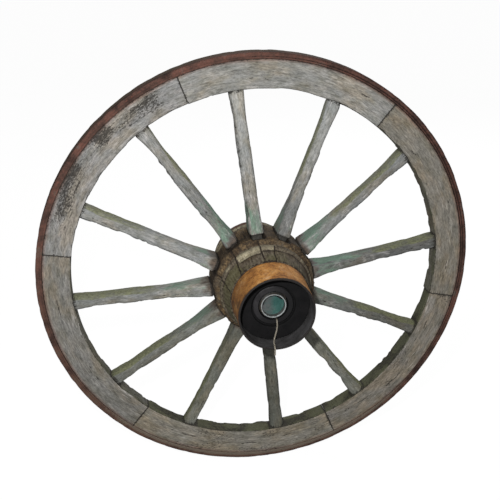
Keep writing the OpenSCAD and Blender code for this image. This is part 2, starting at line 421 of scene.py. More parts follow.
def new_material(name, roughness, specular, metallic=0.0):
    """A material with one shader: returns it, its node tree and the shader."""
    material = bpy.data.materials.new(name)
    material.use_nodes = True
    tree = material.node_tree
    tree.nodes.clear()
    shader = add(tree, "BsdfPrincipled", {"Roughness": roughness, "Specular IOR Level": specular,
                                          "Metallic": metallic})
    add(tree, "OutputMaterial", {"Surface": shader.outputs[0]})
    return material, tree, shader


class Look:
    """A material in the making, whose colour is laid down in layers over noise patterns."""

    def __init__(self, name, roughness, specular, metallic=0.0, marked=True):
        """A marked piece carries the attributes that skin() keeps; on another, its own places do."""
        self.material, self.tree, self.shader = new_material(name, roughness, specular, metallic)
        self.places = self.mark("grain", "Vector") if marked else add(self.tree, "TexCoord").outputs["Object"]
        self.colour = None

    def mark(self, name, output="Color"):
        return add(self.tree, "Attribute", attribute_name=name).outputs[output]

    def strengths(self):
        """The four strengths of the "coat" attribute."""
        layer = add(self.tree, "Attribute", attribute_name="coat")
        split = add(self.tree, "SeparateColor", {0: layer.outputs["Color"]})
        return split.outputs[0], split.outputs[1], split.outputs[2], layer.outputs["Alpha"]

    def calculate(self, operation, a, b, clamp=False):
        return add(self.tree, "Math", {0: a, 1: b}, operation=operation, use_clamp=clamp).outputs[0]

    def mixed(self, factor, a, b, mode="MIX"):
        return add(self.tree, "Mix", {0: factor, 6: a, 7: b}, data_type="RGBA", blend_type=mode).outputs[2]

    def pattern(self, scales, detail=3.0, roughness=0.6, distortion=0.0):
        """Noise from 0 to 1 with that many cells to the metre along each axis."""
        scales = scales if isinstance(scales, tuple) else (scales,) * 3
        scaled = add(self.tree, "VectorMath", {0: self.places, 1: scales}, operation="MULTIPLY").outputs[0]
        return add(self.tree, "TexNoise", {"Vector": scaled, "Scale": 1.0, "Detail": detail,
                                           "Roughness": roughness, "Distortion": distortion}).outputs[0]

    def patches(self, amount, pattern, sharpness):
        """Patches of a pattern that cover more of the surface as amount goes from 0 to 1."""
        level = self.calculate("SUBTRACT", self.calculate("ADD", pattern, amount), 1.0)
        return self.calculate("MULTIPLY", level, sharpness, clamp=True)

    def ramp(self, pattern, stops):
        """A colour ramp through (position, colour) stops."""
        made = add(self.tree, "ValToRGB", {0: pattern})
        elements = made.color_ramp.elements
        while len(elements) < len(stops):
            elements.new(0.5)
        for element, (position, colour) in zip(elements, stops):
            element.position = position
            element.color = colour
        return made.outputs[0]

    def shades(self, pattern, *stops):
        """Colours over a pattern. A stop is its position, then red, green and blue display values."""
        return self.ramp(pattern, [(position, srgb(*colour)) for position, *colour in stops])

    def varied(self, colour, strength, pattern, *stops):
        """A colour multiplied over a pattern. A stop is its position, then one factor or three."""
        factors = [(position, (*(factor * 3)[:3], 1.0)) for position, *factor in stops]
        return self.mixed(strength, colour, self.ramp(pattern, factors), "MULTIPLY")

    def vary(self, strength, pattern, *stops):
        self.colour = self.varied(self.colour, strength, pattern, *stops)

    def lay(self, factor, over):
        """Lays another colour over what is there."""
        self.colour = self.mixed(factor, self.colour, over)

    def cover(self, patches, strength, over):
        """Lays another colour over patches, at most by strength."""
        self.lay(self.calculate("MULTIPLY", patches, strength), over)

    def finished(self, height, strength, distance):
        """The material, with its colour and a fine relief."""
        self.tree.links.new(self.colour, self.shader.inputs["Base Color"])
        bump = add(self.tree, "Bump", {"Height": height, "Strength": strength, "Distance": distance})
        self.tree.links.new(bump.outputs[0], self.shader.inputs["Normal"])
        return self.material


# ---------------------------------------------------------------- materials

def weathered_wood(name, paint, growth, contrast):
    """Grey wood with paint left on it and a growth of moss, given as its dark and its light shade. contrast
    is how strongly its grain shows. Its tone attribute is the clean colour; coat holds moss, darkness (stains
    and painted shade), old paint and wear."""
    look = Look(name, roughness=0.85, specular=0.18)
    moss, stain_and_shade, painted, worn = look.strengths()
    streaks = look.pattern((48, 300, 300), detail=5, roughness=0.7, distortion=0.5)
    fibres = look.pattern((170, 700, 700))
    blotches = look.pattern((40, 75, 75), detail=4)
    specks = look.pattern((190, 330, 330), detail=4, roughness=0.75)
    flakes = look.pattern((24, 90, 90), detail=5, roughness=0.7)
    look.colour = look.mark("tone")
    look.vary(contrast, streaks, (0.30, 0.42), (0.45, 0.86), (0.58, 1.12), (0.72, 1.55))
    look.vary(0.8 * contrast, fibres, (0.32, 0.55), (0.5, 1.0), (0.68, 1.40))
    look.vary(0.8, blotches, (0.32, 0.68, 0.68, 0.63), (0.5, 1.0), (0.68, 1.20, 1.18, 1.20))
    look.vary(0.7, look.pattern((14, 32, 32)), (0.38, 1.10, 1.00, 0.87), (0.5, 1.0), (0.62, 0.94, 0.98, 1.04))
    look.cover(look.patches(worn, streaks, 4.0), 0.55, srgb(200, 196, 192))
    look.cover(look.patches(painted, flakes, 4.0), 0.85,
               look.varied(srgb(*paint), 1.0, streaks, (0.3, 0.62), (0.7, 1.35)))
    look.cover(look.patches(moss, blotches, 3.5), 0.85,
               look.shades(specks, (0.35, *growth[0]), (0.65, *growth[1])))
    look.cover(look.patches(stain_and_shade, specks, 9.0), 0.88,
               look.shades(fibres, (0.4, 34, 32, 29), (0.7, 66, 62, 58)))
    height = look.calculate("ADD", streaks, look.calculate("MULTIPLY", fibres, 0.5))
    return look.finished(height, 0.7, 0.7 * MM)


def nave_material():
    """Old elm. coat holds olive growth, darkness (stains and painted shade; past 1 black grease and painted
    shade), pale wear, and brown crust.
    """
    look = Look("nave_elm", roughness=0.82, specular=0.2)
    moss, stain_and_shade, pale, crust = look.strengths()
    streaks = look.pattern((260, 40, 260), detail=5, roughness=0.65, distortion=0.5)
    blotches = look.pattern((55, 40, 55), detail=5, roughness=0.65)
    clouds = look.pattern((32, 26, 32))
    specks = look.pattern(240, detail=4, roughness=0.7)
    look.colour = look.shades(streaks, (0.30, 52, 45, 36), (0.48, 84, 75, 63), (0.62, 104, 96, 82),
                              (0.75, 130, 122, 106))
    bark = look.shades(specks, (0.32, 36, 30, 23), (0.46, 74, 62, 46), (0.58, 102, 86, 61),
                       (0.70, 142, 128, 102))
    bark = look.varied(bark, 1.0, streaks, (0.34, 0.50, 0.48, 0.46), (0.5, 1.0), (0.64, 1.42, 1.42, 1.36))
    bark = look.varied(bark, 1.0, clouds, (0.36, 0.42, 0.36, 0.34), (0.5, 0.66, 0.64, 0.67),
                       (0.60, 1.02, 0.94, 0.86))
    look.cover(look.patches(crust, blotches, 3.0), 0.9, bark)
    look.cover(look.patches(moss, blotches, 3.0), 0.85,
               look.shades(streaks, (0.35, 70, 66, 44), (0.52, 89, 85, 61), (0.68, 105, 102, 78)))
    tan = look.shades(specks, (0.32, 110, 101, 80), (0.5, 150, 142, 118), (0.66, 174, 166, 144))
    look.cover(look.patches(pale, blotches, 3.5), 0.9,
               look.varied(tan, 1.0, streaks, (0.34, 0.66), (0.5, 1.0), (0.66, 1.15)))
    look.cover(look.patches(stain_and_shade, specks, 5.0), 0.92, srgb(33, 27, 22))
    # Past 1 the darkness goes near black: black grease in the nose recess and painted shade deep in the open
    # mortises.
    past_one = look.calculate("SUBTRACT", stain_and_shade, 1.0)
    look.lay(look.calculate("MULTIPLY", past_one, 1.5, clamp=True),
             look.shades(blotches, (0.35, 8, 8, 9), (0.65, 19, 18, 19)))
    return look.finished(look.calculate("ADD", streaks, specks), 0.6, 0.5 * MM)


def tyre_material():
    """Red-brown rust. coat holds the olive rim, darkness (dark seams and painted shade), the bright lines
    (with a painted highlight to the upper left), and scrapes and mud.
    """
    look = Look("tyre_rust", roughness=0.9, specular=0.12)
    olive, stain_and_shade, line, scraped = look.strengths()
    blotches = look.pattern(34, detail=5)
    specks = look.pattern(310, detail=4, roughness=0.7)
    look.colour = look.shades(blotches, (0.30, 54, 41, 37), (0.46, 80, 60, 53), (0.58, 100, 69, 60),
                              (0.72, 98, 87, 80))
    look.vary(0.7, specks, (0.32, 0.55), (0.5, 1.0), (0.7, 1.35))
    look.cover(look.patches(line, specks, 3.0), 0.8, srgb(132, 70, 57))
    look.cover(look.patches(olive, blotches, 3.0), 0.85, srgb(84, 72, 60))
    look.cover(look.patches(scraped, specks, 4.0), 0.7, srgb(118, 109, 97))
    look.cover(look.patches(stain_and_shade, specks, 5.0), 0.85, srgb(28, 20, 18))
    return look.finished(specks, 0.6, 0.5 * MM)


def nose_material():
    """Orange rust outside and black inside. coat holds the black, darkness (dark rust and painted shade at
    the bottom), pale dust and the sooty lip.
    """
    look = Look("nose_rust", roughness=0.75, specular=0.25)
    inside, stain_and_shade, dust, sooty = look.strengths()
    blotches = look.pattern(42, detail=5, roughness=0.65)
    specks = look.pattern(200, detail=5, roughness=0.75)
    look.colour = look.shades(blotches, (0.32, 112, 70, 30), (0.46, 160, 108, 52), (0.58, 176, 124, 64),
                              (0.70, 196, 150, 96))
    look.vary(0.8, specks, (0.36, 0.30), (0.48, 0.95), (0.64, 1.40))
    look.cover(look.patches(dust, blotches, 3.0), 0.5, srgb(196, 160, 122))
    look.cover(look.patches(stain_and_shade, specks, 4.0), 0.85, srgb(52, 36, 26))
    look.lay(inside, look.shades(blotches, (0.35, 44, 43, 43), (0.65, 72, 71, 72)))
    look.cover(look.patches(sooty, specks, 3.0), 0.9,
               look.shades(specks, (0.35, 20, 18, 18), (0.65, 36, 31, 29)))
    return look.finished(specks, 0.6, 0.5 * MM)


def plain_material(name, low, high, roughness, metallic, specular=0.4, soot_and_shade=0.0):
    """A dull surface whose colour wanders between two shades, for parts that stay as turned. soot darkens it
    away from its upper left: painted shade, as if lit from there."""
    look = Look(name, roughness, specular, metallic, marked=False)
    blotches = look.pattern(60, detail=5, roughness=0.65)
    specks = look.pattern(380)
    look.colour = look.shades(blotches, (0.35, *low), (0.65, *high))
    look.vary(0.7, specks, (0.3, 0.6), (0.5, 1.0), (0.7, 1.25))
    if soot_and_shade:
        # Painted shade: everything away from the upper left is darkened, as if lit from there.
        to_upper_left = (-14, 0, 10)
        lit = add(look.tree, "VectorMath", {0: look.places, 1: to_upper_left}, operation="DOT_PRODUCT")
        look.cover(look.calculate("SUBTRACT", 0.80, lit.outputs["Value"], clamp=True), soot_and_shade, srgb(14, 14, 15))
    return look.finished(specks, 0.5, 0.3 * MM)


def pipe_material():
    """Zinc-grey steel, rusty on the outside and bright where it is cut. coat's first strength is the cut."""
    look = Look("pipe_steel", roughness=0.5, specular=0.5, metallic=0.35)
    specks = look.pattern((260, 90, 260), detail=4, roughness=0.7)
    look.colour = look.shades(look.pattern(50, detail=4), (0.35, 78, 74, 70), (0.52, 104, 106, 106),
                              (0.68, 98, 84, 70))
    look.vary(0.6, specks, (0.3, 0.6), (0.7, 1.25))
    look.lay(look.strengths()[0], look.shades(specks, (0.3, 120, 125, 125), (0.6, 176, 181, 181)))
    return look.finished(specks, 0.4, 0.2 * MM)


def plug_material():
    """Chalky teal paint. coat holds a painted shadow of the rim at the top, over a little grime, and how grey
    the paint has gone.
    """
    look = Look("plug_paint", roughness=0.8, specular=0.2)
    clouds = look.pattern(55, detail=4)
    chips = look.pattern(210, detail=4, roughness=0.7)
    dirt_and_rim_shadow, faded = look.strengths()[:2]
    look.colour = look.shades(clouds, (0.34, 37, 76, 71), (0.66, 63, 94, 89))
    look.lay(look.patches(faded, clouds, 2.2), srgb(84, 86, 86))
    look.vary(0.6, chips, (0.3, 0.5), (0.45, 0.95), (0.7, 1.15))
    look.lay(look.patches(dirt_and_rim_shadow, chips, 5.0), srgb(18, 19, 20))
    return look.finished(chips, 0.5, 0.4 * MM)


def twine_material():
    """Grey-brown jute; fibres run along each ply. coat's first strength is the grease on the knot."""
    look = Look("jute", roughness=0.95, specular=0.1)
    fibres = look.pattern((300, 3000, 3000), detail=4)
    look.colour = look.shades(fibres, (0.30, 82, 74, 62), (0.5, 136, 130, 118), (0.7, 176, 170, 156))
    look.vary(0.6, look.pattern((160, 400, 400)), (0.35, 0.7), (0.65, 1.15))
    look.lay(look.strengths()[0], srgb(34, 31, 28))
    return look.finished(fibres, 0.7, 0.2 * MM)


# ---------------------------------------------------------------- twine

def route_points(corners):
    """The twine's route in the row frame, from [right, up, towards the nose] in millimetres."""
    return np.array([(right, -towards_nose, up) for right, up, towards_nose in corners]) * MM


# The same points as the twine's route in the CAD model
TWINE_ROUTE = route_points([
    [6, -25.8, 158], [6, -25.8, 163], [6, -25.8, 168], [6, -26, 171.5], [6, -27.2, 175.6],
    [6, -29.9, 178], [6, -33.8, 179], [6.1, -38.5, 179.2], [5.6, -44, 179.2],
    [4.6, -50, 179.2], [3, -55.5, 179.8], [1.2, -60, 182], [-0.4, -63, 186],
    [-1.6, -64.1, 191.5], [-2.6, -64.4, 197], [-3.2, -64.4, 202.5], [-3.8, -64.2, 208.5],
    [-4, -65, 212], [-4.1, -67.2, 214.2], [-4.2, -70.2, 215], [-4.4, -74.5, 215],
    [-4.5, -79, 215]])
TWINE_D = 3 * MM
PLY_R = 0.88 * MM
PLY_LAY = 0.72 * MM
PLY_STEP = 0.9 * MM
TWIST_PITCH = 9 * MM
GREASE_END = 14 * MM
KNOT_DRIFT = 0.35 * MM
KNOT_SWELL = 0.25 * MM


def along_path(points, spacing):
    """Evenly spaced points on a polyline, its unit directions there and two square unit vectors."""
    travelled = np.concatenate([[0], np.cumsum(np.linalg.norm(np.diff(points, axis=0), axis=1))])
    steps = np.linspace(0, travelled[-1], max(3, round(travelled[-1] / spacing) + 1))
    line = np.stack([np.interp(steps, travelled, points[:, k]) for k in range(3)], axis=-1)
    for _ in range(3):
        line[1:-1] = 0.25 * line[:-2] + 0.5 * line[1:-1] + 0.25 * line[2:]
    ahead = np.gradient(line, axis=0)
    ahead /= np.linalg.norm(ahead, axis=1, keepdims=True)
    side = np.cross(ahead, (1.0, 0.2, 0.1))
    side /= np.linalg.norm(side, axis=1, keepdims=True)
    return steps, line, side, np.cross(ahead, side)


def strand(name, line, side, up, steps, grease, sides=9):
    """A thin round tube round a line, with fine unevenness. grease is how black each point of it is."""
    turn = round_turn(sides)[None, :, None]
    girth = PLY_R * (1 + 0.10 * wave(steps, 900, 5))
    rings = line[:, None] + girth[:, None, None] * (np.cos(turn) * side[:, None] + np.sin(turn) * up[:, None])
    grain = layered(steps[:, None], PLY_R * np.cos(turn[..., 0]), PLY_R * np.sin(turn[..., 0]))
    nothing = np.zeros(rings.shape[:2])
    return skin(name, rings, grain=grain, coat=layered(grease[:, None], nothing, nothing, nothing))


def lay_plies(name, route, loosen, clean_from):
    """Three plies twisted round a route. loosen opens them towards its end, and they are greasy up to
    clean_from along it."""
    steps, line, side, up = along_path(route, PLY_STEP)
    spread = PLY_LAY * (1 + loosen * smooth(0.93, 1.0, steps / steps[-1]))
    grease = 0.92 * fade(clean_from, clean_from + 8 * MM, steps)
    plies = []
    for k in range(3):
        turn = TURN * (steps / TWIST_PITCH + k / 3)
        offset = spread[:, None] * (np.cos(turn)[:, None] * side + np.sin(turn)[:, None] * up)
        plies.append(strand(f"{name}_ply_{k}", line + offset, side, up, steps + 0.31 * k, grease))
    return join(name, plies)


def make_twine(material):
    """The loose length of twine, with its knot round the tube."""
    loose = lay_plies("twine_strand", TWINE_ROUTE, 0.35, GREASE_END)
    hand_over(loose, "axle", material, "twine")
    low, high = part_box("twine_hitch")
    ring_r, centre = (high.x - low.x) / 2 - TWINE_D / 2, -(low.y + high.y) / 2
    turns = np.linspace(0, 2 * TURN, 160)
    coil = place(ring_r + KNOT_SWELL * np.cos(turns * 0.5), turns - math.pi / 2,
                 centre + KNOT_DRIFT * np.sin(turns * 0.5))
    knot = lay_plies("twine_knot", coil, 0.0, 1.0)
    hand_over(knot, "axle", material, "twine_hitch")


# ---------------------------------------------------------------- tyre

GROOVE_R = TYRE_IN + 4.4 * MM


def lowest(theta):
    """1 round the bottom of the rim, where mud hides the seam of the tyre."""
    return smooth(0.3, 0.9, -np.sin(theta))


def tyre_relief(theta, rho, forward):
    """Hammer marks, pits and a groove in its sides. It stays flat against the felloes."""
    waves = 0.35 * MM * fractal(around(theta, TYRE_OUT, rho + forward, 45, 90), 3, 11)
    groove = 0.7 * MM * ridge(rho - GROOVE_R, 0.9 * MM) * (abs(forward) > 0.9 * RIM_HALF)
    worn = 0.5 * MM * smooth(0.2, 0.8, noise(around(theta, 1, rho, 30, 200), 7)) * (rho > TYRE_OUT - 3 * MM)
    return waves * smooth(TYRE_IN, TYRE_IN + 2 * MM, rho) - groove - worn


def tyre_stain_and_shade(theta, rho, forward, upper):
    """Darkness: painted shade, most on the right and least at the upper left, and dark lines in the seam with
    the felloes, in the groove and at the front edge.
    """
    # shaded and upper: painted shade on the right and painted light at the upper left.
    shaded = smooth(0.5, 1.0, np.cos(theta - math.radians(45)))
    seam = 0.5 - 0.5 * smooth(TYRE_IN, TYRE_IN + 0.9 * MM, rho)
    lines = (0.75 * seam + 0.24 * ridge(rho - GROOVE_R, 1.1 * MM)) * (1 - 0.8 * lowest(theta))
    edge = ridge(rho - TYRE_OUT + 1.8 * MM, 1.0 * MM) * (forward > 0)
    return 0.41 - 0.12 * upper + 0.20 * shaded + lines + 0.12 * edge


def tyre_coat(theta, rho, forward):
    front = forward > 0.9 * RIM_HALF
    upper = facing(theta, 125)
    low = facing(theta, -110)
    wander = noise(around(theta, 1, 0, 9, 1), 3)
    tread = smooth(TYRE_OUT - 1.6 * MM, TYRE_OUT - 0.6 * MM, rho)
    olive = tread * (0.95 + 0.2 * wander) * smooth(-9 * MM, 1 * MM, -forward) + 0.25 + 0.38 * low
    lines = 0.7 * ridge(rho - TYRE_IN - 2 * MM, 1.4 * MM) + 0.8 * ridge(rho - TYRE_OUT + 4.6 * MM, 3 * MM)
    scraped = 0.42 * (rho > TYRE_OUT - 0.8 * MM) * (abs(forward) < 0.8 * RIM_HALF)
    mud = lowest(theta) * fade(TYRE_IN + 4.5 * MM, TYRE_IN + 7.5 * MM, rho)
    # The bright lines are brighter towards the upper left: a painted highlight.
    return (olive, tyre_stain_and_shade(theta, rho, forward, upper), lines * front * (0.22 + 0.42 * upper),
            scraped + 0.85 * mud * front)


def make_tyre(material):
    corners = [(TYRE_IN, -RIM_HALF, 1 * MM), (TYRE_OUT, -RIM_HALF, 3 * MM), (TYRE_OUT, RIM_HALF, 0.9 * MM),
               (TYRE_IN, RIM_HALF, 12 * MM)]
    band = lathe("tyre_band", corners, tyre_relief, tyre_coat, spacing=2 * MM, steps=900, softness=1.6 * MM)
    hand_over(band, "wheel", material, "tyre")


# ---------------------------------------------------------------- felloes

# Cracks in a felloe's front: (start, end) along it and its distance out from the inner edge, each as a
# share, then how much it slants, in radians
FELLOE_CRACKS = {
    1: [(0.08, 0.24, 0.62, -0.04), (0.58, 0.74, 0.35, 0.03)],
    2: [(0.05, 0.22, 0.45, 0.05), (0.42, 0.56, 0.70, 0.0), (0.72, 0.88, 0.30, -0.03)],
    3: [(0.06, 0.30, 0.40, 0.04), (0.34, 0.60, 0.62, -0.03), (0.64, 0.90, 0.34, 0.04)],
    4: [(0.14, 0.34, 0.46, 0.02), (0.45, 0.66, 0.60, -0.03), (0.72, 0.90, 0.44, 0.02)],
    5: [(0.16, 0.34, 0.55, -0.04), (0.58, 0.74, 0.40, 0.04)],
    6: [(0.56, 0.72, 0.50, 0.03), (0.18, 0.32, 0.40, 0.03)],
}
# Colour of each felloe's clean wood
FELLOE_TONES = {
    1: srgb(136, 134, 128), 2: srgb(128, 123, 113), 3: srgb(130, 125, 116),
    4: srgb(132, 127, 116), 5: srgb(124, 121, 114), 6: srgb(134, 132, 128),
}
RUST_STAIN = np.array(srgb(108, 82, 72))
SPECKLED = 6
STAINED = (3, 4)
MOSSY = {3: 1.15, 4: 1.05, 5: 0.70, 2: 0.70}
JOINT_FILL = 0.3 * MM
FELLOE_RINGS = 230
FELLOE_W = FELLOE_OUT - FELLOE_IN
FELLOE_MEAN_R = 0.5 * (FELLOE_IN + FELLOE_OUT)


def edge_shrink(distance, arris):
    """How far a face is cut back near an end, for a rounded arris."""
    t = np.clip(1 - distance / arris, 0, 1)
    return arris * (1 - np.sqrt(1 - t * t))


def felloe_surface(index, node):
    """Places on a felloe's skin: a row for each direction, a column for each point of its section."""
    start, end = arc(node)
    start, end = start - JOINT_FILL / FELLOE_OUT, end + JOINT_FILL / FELLOE_OUT
    loop = resample([(FELLOE_IN, -RIM_HALF, 3 * MM), (FELLOE_OUT, -RIM_HALF, 6 * MM),
                     (FELLOE_OUT, RIM_HALF, 1.2 * MM), (FELLOE_IN, RIM_HALF, 1.6 * MM)],
                    spacing=2 * MM, softness=2.6 * MM)
    normal = loop_normals(loop)
    near_end = np.array([0, 0.4, 0.9, 1.6, 2.6]) * MM / FELLOE_OUT
    between_ends = np.linspace(start + 4 * MM / FELLOE_OUT, end - 4 * MM / FELLOE_OUT, FELLOE_RINGS)
    theta = np.concatenate([start + near_end, between_ends, end - near_end[::-1]])[:, None]
    rho, forward = loop[None, :, 0] + 0 * theta, loop[None, :, 1] + 0 * theta
    return SimpleNamespace(
        index=index, theta=theta, rho=rho, forward=forward, length=FELLOE_MEAN_R * (end - start),
        along=(theta - 0.5 * (start + end)) * FELLOE_MEAN_R + 0 * rho,
        to_end=np.minimum(theta - start, end - theta) * rho,
        to_inner_edge=np.hypot(rho - FELLOE_IN, RIM_HALF - abs(forward)),
        to_outer_edge=np.hypot(rho - FELLOE_OUT, RIM_HALF - abs(forward)),
        outward=normal[None, :, 0], ahead=normal[None, :, 1])


def felloe_cracks(wood):
    """0 to 1 in the middle of the cracks, which follow the rim, wander and fade in and out."""
    total = 0 * wood.along
    for k, (start, end, out, slant) in enumerate(FELLOE_CRACKS[wood.index]):
        low, high = (start - 0.5) * wood.length, (end - 0.5) * wood.length
        middle = FELLOE_IN + out * FELLOE_W + slant * (wood.along - 0.5 * (low + high))
        middle = middle + 2.2 * MM * wave(wood.along, 50, 17, row=k, octaves=2)
        ends = smooth(low, low + 25 * MM, wood.along) * fade(high - 25 * MM, high, wood.along)
        broken = smooth(-0.5, 0.3, wave(wood.along, 90, 19, row=3 * k))
        total = np.maximum(total, ends * broken * ridge(wood.rho - middle, 1 * MM))
    return total * (wood.ahead > 0.7)


def speckled_band(wood):
    """0 to 1 where the upper left felloe's front is blotched black, outside its middle line."""
    share = wood.along / wood.length + 0.5
    middle = FELLOE_IN + (0.74 - 0.35 * abs(share - 0.45)) * FELLOE_W
    band = np.exp(-((wood.rho - middle) / (17 * MM)) ** 4) * (wood.ahead > 0.7)
    return band * smooth(0.04, 0.16, share) * fade(0.84, 0.97, share)


def felloe_relief(wood, cracks, ragged):
    """How far the wood stands out: furrows and waves, less chips and cracks. Its outside stays flat."""
    along, rho, forward = wood.along, wood.rho, wood.forward
    furrows = 0.30 * MM * fractal(stretched((along, 30), (rho, 170), (forward, 170)), 2, 20 + wood.index)
    waves = 0.7 * MM * noise(stretched((along, 13), (rho, 25), (forward, 25)), 40 + wood.index)
    bites = smooth(0.3, 0.8, wave(along, 24, 90 + wood.index))
    chips = ((3.2 * smooth(0.1, 0.9, ragged) + 2.4 * bites) * MM * ridge(wood.to_inner_edge, 5 * MM)
             + 1.1 * MM * smooth(0.2, 0.9, ragged) * ridge(wood.to_outer_edge, 3 * MM))
    out = furrows + waves - chips - 1.4 * MM * cracks - edge_shrink(wood.to_end, 1 * MM) - 0.5 * MM
    return out * fade(0.3, 0.9, wood.outward)


def felloe_coat(wood, cracks, ragged, clumps):
    inner = wood.outward < -0.5
    # contact: painted shade on the inner face round each spoke tip, where the spokes meet the felloe.
    contact = 0 * wood.rho
    for tip in SPOKE_TIPS:
        beside = abs(turned_by(wood.theta, tip)) * wood.rho
        contact = np.maximum(contact, fade(15 * MM, 21 * MM, beside))
    outer_seam = fade(0.5 * MM, 2.2 * MM, FELLOE_OUT - wood.rho)
    seam = np.exp(-wood.to_end / (1.3 * MM)) + 0.35 * outer_seam * (1 - 0.7 * lowest(wood.theta))
    stain_and_shade = 0.37 + 0.35 * cracks + 0.50 * seam + (0.10 + 0.20 * contact) * inner
    stain_and_shade = stain_and_shade + 0.20 * ridge(wood.to_inner_edge, 2.6 * MM) * smooth(-0.3, 0.5, ragged)
    stain_and_shade = stain_and_shade + (0.13 * smooth(-0.2, 0.6, clumps) if wood.index in STAINED
                     else 0.07 * smooth(0, 0.9, clumps))
    near_inner_edge = np.exp(-wood.to_inner_edge / (7 * MM))
    moss = MOSSY.get(wood.index, 0.2) * (0.80 * inner + 0.30 * near_inner_edge)
    if wood.index == SPECKLED:
        band = speckled_band(wood)
        stain_and_shade = stain_and_shade + band * (0.10 + 0.16 * smooth(-0.4, 0.6, clumps))
        moss = moss + 0.30 * band
    worn = 0.20 * np.exp(-wood.to_inner_edge / (5 * MM)) + 0.28 + 0.2 * smooth(0, 0.8, -clumps)
    return layered(moss, stain_and_shade, 0 * wood.rho, worn)


def felloe_tone(wood, clumps):
    """Clean wood, darker inside the rim and rusty beside the tyre."""
    rusty = 0.75 * ridge(FELLOE_OUT - wood.rho, (4 + 1.5 * clumps) * MM)[..., None]
    tone = np.array(FELLOE_TONES[wood.index]) * np.where(wood.outward < -0.5, 0.72, 1.0)[..., None]
    tone = tone * (1 - rusty) + RUST_STAIN * rusty
    tone[..., 3] = 1
    return tone


def make_felloe(index, node, material):
    wood = felloe_surface(index, node)
    along, rho, forward = wood.along, wood.rho, wood.forward
    ragged = fractal(stretched((along, 60), (rho, 90), (forward, 60)), 3, 60 + index)
    clumps = fractal(stretched((along, 26), (rho, 45), (forward, 45)), 2, 80 + index)
    cracks = felloe_cracks(wood)
    out = felloe_relief(wood, cracks, ragged)
    rings = place(rho + out * wood.outward, wood.theta, forward + out * wood.ahead)
    piece = skin(f"felloe_wood_{index}", rings, grain=layered(along + 1.7 * index, rho, forward),
                 coat=felloe_coat(wood, cracks, ragged, clumps), tone=felloe_tone(wood, clumps))
    hand_over(piece, "wheel", material, node)


# ---------------------------------------------------------------- spokes

# For each spoke: how light its wood is by the nave and by the rim, and how much green paint it keeps
SPOKE_LOOKS = [(0.65, 1.02, 0.62), (0.56, 1.00, 0.52), (0.80, 0.72, 0.60), (0.56, 0.46, 0.58),
               (0.62, 0.44, 0.48), (0.70, 0.70, 0.36), (0.54, 0.43, 0.34), (0.46, 0.63, 0.34),
               (0.62, 0.56, 0.50), (0.86, 0.70, 0.48), (0.86, 0.84, 0.44), (0.53, 0.76, 0.68)]
SPOKE_WOOD = np.array(srgb(148, 148, 144))
# How square a spoke's section is at shares of its length: an exponent of 1 is an ellipse
SQUARE_SHARES = (0.0, 0.11, 0.21, 0.37, 0.84, 0.94, 1.0)
SQUARE_POWERS = (0.35, 0.45, 0.6, 0.7, 0.7, 0.6, 0.6)
CRUST_BROWN = np.array(srgb(86, 75, 66))
# How far the nave's brown crust creeps up each foot
FOOT_CRUST = (0.0, 0.2, 1.0, 0.8, 0.8, 1.0, 1.0, 1.0, 1.0, 0.9, 0.9, 1.0)
TENON_W, TENON_D, TENON_SHOWN = 22 * MM, 46 * MM, 17 * MM
MIN_SPOKE_W = 15 * MM
SPOKE_RINGS, SPOKE_SIDES = 170, 64


def spoke_stations(node):
    """The rings of a straight CAD spoke outside the nave: their places, widths, depths and centres."""
    angle = heading(node, outer=False)
    x, y, z = cad_points(node).T
    along, side = x * math.cos(angle) + z * math.sin(angle), z * math.cos(angle) - x * math.sin(angle)
    reach_in = along[along > 0.98 * NAVE_R].min()
    places = np.unique(np.round(along[(along > reach_in - 0.1 * MM) & (along < FELLOE_IN)] / MM, 1)) * MM
    rows = []
    for where in places:
        ring = abs(along - where) < 0.3 * MM
        rows.append((where, np.ptp(side[ring]), np.ptp(y[ring]), -0.5 * (y[ring].max() + y[ring].min())))
    return np.array([row for row in rows if row[1] > MIN_SPOKE_W]).T


STATIONS = spoke_stations(SPOKES[0])


def powered(value, power):
    return np.sign(value) * abs(value) ** power


def spoke_sections(s):
    """Width, depth and forward centre at the places s: the blade smoothed, and the tenon behind its foot."""
    places, widths, depths, centres = STATIONS
    kernel = np.ones(9) / 9
    tenon = (s < places[0] - 0.2 * MM)[:, None]

    def along_spoke(values):
        padded = np.pad(np.interp(s, places, values), 4, mode="edge")
        return np.convolve(padded, kernel, mode="valid")[:, None]

    width = np.where(tenon, TENON_W, along_spoke(widths))
    depth = np.where(tenon, TENON_D, along_spoke(depths))
    return width, depth, along_spoke(centres)


def spoke_surface(index, node):
    """Places on a spoke's skin: a row for each place along it, a column for each direction round it."""
    angle = heading(node, outer=False)
    low, high = STATIONS[0][0], STATIONS[0][-1]
    s = np.linspace(low - TENON_SHOWN, high + 2 * MM, SPOKE_RINGS)
    width, depth, centre = spoke_sections(s)
    turn = round_turn(SPOKE_SIDES)[None, :]
    share = ((s - low) / (high - low))[:, None]
    power = np.interp(share, SQUARE_SHARES, SQUARE_POWERS)
    side = 0.5 * width * powered(np.cos(turn), power)
    return SimpleNamespace(
        index=index, seed=100 + 7 * index, angle=angle, lean=turned_by(heading(node, outer=True), angle),
        turn=turn, share=share, width=width, side=side, along=s[:, None] + 0 * side,
        forward=centre + 0.5 * depth * powered(np.sin(turn), power),
        flank=smooth(0.35, 0.95, abs(np.cos(turn))), upward=np.cos(turn) * math.cos(angle))


def spoke_split(wood):
    """0 to 1 in the middle of a drying crack that wanders down the front."""
    middle = 0.16 * wood.width * np.sin(7 * wood.share + 2.1 * wood.index)
    split = ridge(wood.side - middle, 0.9 * MM) * (np.sin(wood.turn) > 0.3)
    return split * smooth(0.0, 0.6, wave(wood.along, 16, wood.seed + 4))


